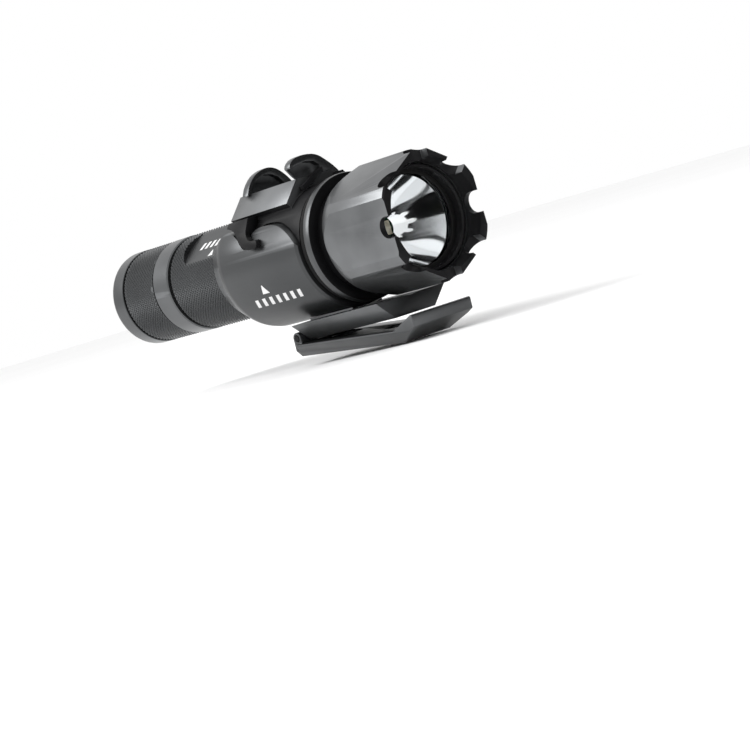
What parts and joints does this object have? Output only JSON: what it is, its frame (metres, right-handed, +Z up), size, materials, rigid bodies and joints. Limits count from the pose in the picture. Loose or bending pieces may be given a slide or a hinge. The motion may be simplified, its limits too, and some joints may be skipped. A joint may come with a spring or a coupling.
{
  "type": "firefighter flashlight",
  "caption": "Tactical tube flashlight with a scalloped six-sided head, held in a quick-release helmet cradle on a tilting base plate.",
  "frame": {"origin": "middle of the base plate's lower face, where the bracket sits on the helmet", "axes": "+X along the light, towards the lens; +Z up, away from the helmet; +Y completes the right hand. At rest the plate's face leans 3.8 degrees from the light's axis."},
  "size_m": [0.1238, 0.0356, 0.051],
  "materials": {
    "anodised": "satin hard-anodised, dark grey-black",
    "black_part": "matte black anodised",
    "rubber": "matte",
    "steel": "blackened or plain steel",
    "brass": "machined brass",
    "mirror": "polished vacuum-metallised dish",
    "glass": "clear, anti-reflection coated",
    "led": "yellow phosphor under a clear dome",
    "board": "solder mask",
    "cell": "printed shrink sleeve, no text",
    "plastic": "moulded"
  },
  "bodies": {
    "base": {"base_plate": "anodised", "tilt_pin": "black_part"},
    "tail_cap": {"tail_cap": "anodised", "tail_switch": "plastic", "tail_switch_board": "board", "switch_retaining_ring": "brass", "tail_spring": "steel"},
    "tail_button": {"tail_button": "rubber", "switch_plunger": "plastic"},
    "lever_rear": {"lever_rear": "anodised"},
    "lever_front": {"lever_front": "anodised"},
    "holder": {"tail_oring": "rubber", "body_tube": "anodised", "battery_rear": "cell", "battery_front": "cell", "front_contact_spring": "steel", "neck_ring": "rubber", "head_base": "anodised", "driver_board": "board", "led_board": "board", "led_emitter": "led", "reflector": "mirror", "lens": "glass", "lens_gasket": "rubber", "bezel_ring": "black_part", "head_shell": "anodised", "cradle": "anodised", "cradle_screw_rear": "steel", "cradle_screw_front": "steel", "top_clamp": "black_part", "clamp_hook_near": "black_part", "clamp_hook_far": "black_part", "lever_pin_rear": "black_part", "lever_pin_front": "black_part", "rail_block": "anodised"}
  },
  "joints": [
    {"name": "bracket_tilt", "type": "hinge", "parent": "base", "child": "holder", "pos_m": [-0.01864, 0, 0.0061], "axis": [0, -1, 0], "range_deg": [-3, 10]},
    {"name": "tail_twist", "type": "hinge", "parent": "holder", "child": "tail_cap", "pos_m": [-0.08724, 0, 0.0264], "axis": [1, 0, 0], "range_deg": [0, 90]},
    {"name": "tail_press", "type": "slide", "parent": "tail_cap", "child": "tail_button", "axis": [1, 0, 0], "range_m": [0, 0.0015], "stiffness_N_per_m": 600, "springref_m": -0.001},
    {"name": "lever_rear_open", "type": "hinge", "parent": "holder", "child": "lever_rear", "pos_m": [-0.08724, 0.0069, 0.0419], "axis": [-1, 0, 0], "range_deg": [0, 85]},
    {"name": "lever_front_open", "type": "hinge", "parent": "holder", "child": "lever_front", "pos_m": [-0.08724, 0.0069, 0.0419], "axis": [-1, 0, 0], "range_deg": [0, 85]}
  ]
}
